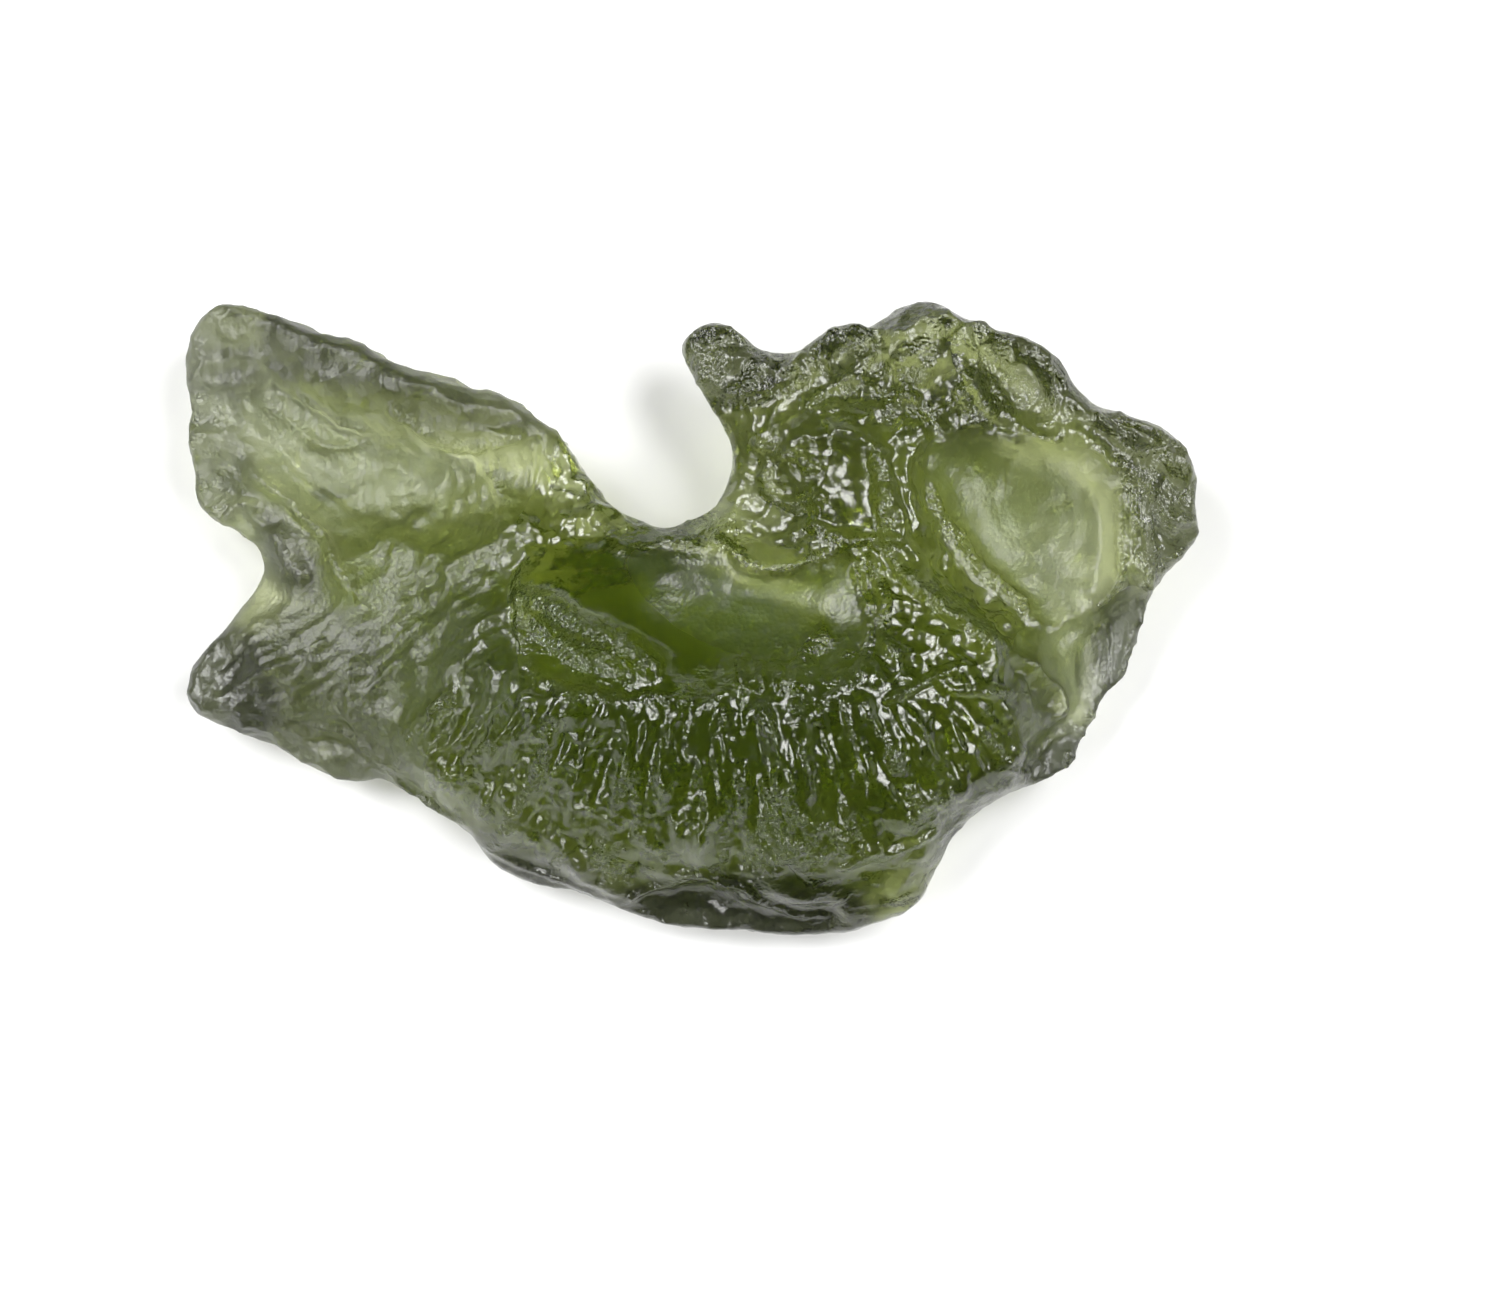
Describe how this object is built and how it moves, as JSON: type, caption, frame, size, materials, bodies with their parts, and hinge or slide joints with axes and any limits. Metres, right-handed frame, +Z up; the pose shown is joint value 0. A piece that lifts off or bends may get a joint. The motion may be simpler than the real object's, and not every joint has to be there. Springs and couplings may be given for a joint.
{
  "type": "moldavite",
  "caption": "Raw moldavite, a piece of translucent green natural glass with etched, fluted and pitted faces, a wide bay in one edge and a small flat spot it rests on.",
  "frame": {"origin": "on the plane of the flat spot that the stone rests on, under the middle of its bounding box", "axes": "+X along the stone's length to the wing with the round hollow, +Y to the edge with the bay, +Z up through the etched face"},
  "size_m": [0.0278, 0.0174, 0.0065],
  "materials": {
    "green_glass": "clear olive-green natural glass, etched and glinting outside"
  },
  "bodies": {
    "root": {"moldavite": "green_glass"}
  },
  "joints": []
}
